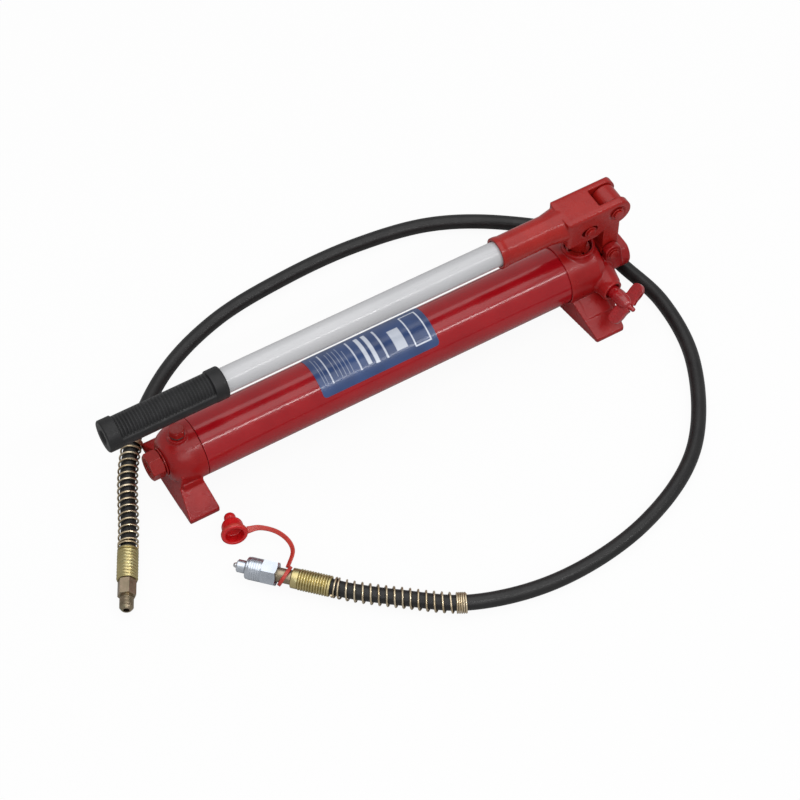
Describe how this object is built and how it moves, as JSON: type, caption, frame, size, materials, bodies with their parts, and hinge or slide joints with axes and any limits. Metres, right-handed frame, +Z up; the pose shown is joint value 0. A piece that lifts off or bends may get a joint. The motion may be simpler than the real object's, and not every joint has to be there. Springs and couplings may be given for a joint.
{
  "type": "hydraulic hand pump",
  "caption": "Lever-worked hydraulic hand pump with a tubular oil reservoir between cast feet, a release valve, and a loose hose with spring guards and a capped coupler.",
  "frame": {"origin": "on the floor under the reservoir's axis, at the middle of the pump head's foot", "axes": "+X along the reservoir towards the pump head's outlet, +Y across to the left, +Z up"},
  "size_m": [0.6429, 0.4599, 0.1403],
  "materials": {
    "red_enamel": "gloss red enamel over cast and rolled steel",
    "white_enamel": "gloss white enamel",
    "grip_vinyl": "ribbed black vinyl",
    "hose_rubber": "smooth black rubber cover",
    "steel": "machined steel",
    "yellow_zinc": "yellow-passivated zinc on steel",
    "spring_steel": "bright spring wire",
    "clear_zinc": "clear-passivated zinc on steel",
    "red_vinyl": "glossy red vinyl",
    "seal_rubber": "nitrile rubber",
    "ptfe": "white PTFE",
    "copper": "soft copper",
    "label_blue": "blue plastic film"
  },
  "bodies": {
    "base": {"reservoir_tube": "red_enamel", "front_gasket": "seal_rubber", "rear_gasket": "seal_rubber", "label": "label_blue", "rear_cap": "red_enamel", "tie_rod": "steel", "tie_rod_washer": "copper", "tie_rod_nut": "red_enamel", "pump_head": "red_enamel", "pump_barrel": "steel", "plunger_seal": "seal_rubber", "backup_ring": "ptfe", "gland_nut": "steel", "suction_tube": "steel", "suction_strainer": "spring_steel", "suction_spring": "spring_steel", "delivery_seat": "steel", "delivery_spring": "spring_steel", "relief_screw": "steel", "relief_spring": "spring_steel", "link_pin": "red_enamel", "link_pin_clip": "red_enamel"},
    "link": {"fulcrum_link": "red_enamel"},
    "lever": {"handle_socket": "red_enamel", "fulcrum_pin": "red_enamel", "fulcrum_pin_clip": "red_enamel"},
    "handle": {"handle_tube": "white_enamel", "handle_grip": "grip_vinyl"},
    "plunger": {"pump_plunger": "steel", "plunger_pin": "red_enamel", "plunger_pin_clip": "red_enamel"},
    "release_ball": {"release_ball": "steel"},
    "release_valve": {"release_spindle": "steel", "release_seal": "seal_rubber", "release_knob": "red_vinyl", "knob_pin": "steel"},
    "filler_seal": {"filler_seal": "seal_rubber"},
    "filler_plug": {"filler_plug": "red_enamel"},
    "suction_ball": {"suction_ball": "steel"},
    "delivery_ball": {"delivery_ball": "steel"},
    "relief_ball": {"relief_ball": "steel"},
    "hose_assembly": {"hose": "hose_rubber", "male_guard_spring": "spring_steel", "coupler_guard_spring": "spring_steel", "male_nipple": "yellow_zinc", "male_ferrule": "yellow_zinc", "coupler_ferrule": "yellow_zinc", "coupler_stem": "yellow_zinc", "coupler_body": "clear_zinc", "poppet_spring": "spring_steel"},
    "poppet": {"coupler_poppet": "steel"},
    "dust_cap": {"dust_cap": "red_vinyl", "cap_strap": "red_vinyl"}
  },
  "joints": [
    {"name": "lever_swing", "type": "hinge", "parent": "link", "child": "lever", "pos_m": [0.03, 0, 0.125], "axis": [0, 1, 0], "range_deg": [0, 50]},
    {"name": "link_rock", "type": "hinge", "parent": "base", "child": "link", "pos_m": [0.03, 0, 0.062], "axis": [0, 1, 0], "range_deg": [-2.5, 0.5]},
    {"name": "plunger_slide", "type": "slide", "parent": "base", "child": "plunger", "axis": [0, 0, 1], "range_m": [0, 0.0262]},
    {"name": "handle_pull_out", "type": "slide", "parent": "lever", "child": "handle", "axis": [-1, 0, 0], "range_m": [0, 0.05]},
    {"name": "release_turn", "type": "hinge", "parent": "release_ball", "child": "release_valve", "pos_m": [0.0105, -0.0129, 0.038], "axis": [0.1564, -0.9877, 0], "range_deg": [0, 540]},
    {"name": "release_lift", "type": "slide", "parent": "base", "child": "release_ball", "axis": [0.1564, -0.9877, 0], "range_m": [0, 0.002]},
    {"name": "filler_turn", "type": "hinge", "parent": "filler_seal", "child": "filler_plug", "pos_m": [-0.449, 0, 0.08], "axis": [0, 0, 1], "range_deg": [0, 720]},
    {"name": "filler_lift", "type": "slide", "parent": "base", "child": "filler_seal", "axis": [0, 0, 1], "range_m": [0, 0.0026]},
    {"name": "suction_ball_lift", "type": "slide", "parent": "base", "child": "suction_ball", "axis": [0, 0, 1], "range_m": [0, 0.0015], "deforming": ["suction_spring"]},
    {"name": "delivery_ball_lift", "type": "slide", "parent": "base", "child": "delivery_ball", "axis": [0, 0, 1], "range_m": [0, 0.0015], "deforming": ["delivery_spring"]},
    {"name": "relief_ball_drop", "type": "slide", "parent": "base", "child": "relief_ball", "axis": [0, 0, -1], "range_m": [0, 0.001], "deforming": ["relief_spring"]},
    {"name": "hose_on_floor", "type": "slide", "parent": "base", "child": "hose_assembly", "axis": [0, 1, 0], "range_m": [0, 0.008]},
    {"name": "poppet_push", "type": "slide", "parent": "hose_assembly", "child": "poppet", "axis": [0.7059, -0.7083, 0], "range_m": [0, 0.003], "deforming": ["poppet_spring"]},
    {"name": "cap_swing", "type": "hinge", "parent": "hose_assembly", "child": "dust_cap", "pos_m": [-0.42081, -0.15422, 0.0127], "axis": [0.7059, -0.7083, 0], "range_deg": [0, 100]}
  ],
  "couplings": [
    {"joint": "link_rock", "follows": "lever_swing", "ratio": -0.045},
    {"joint": "plunger_slide", "follows": "lever_swing", "m_per_rad": 0.0299},
    {"joint": "release_lift", "follows": "release_turn", "m_per_rad": 0.00019894},
    {"joint": "filler_lift", "follows": "filler_turn", "m_per_rad": 0.00019894}
  ]
}
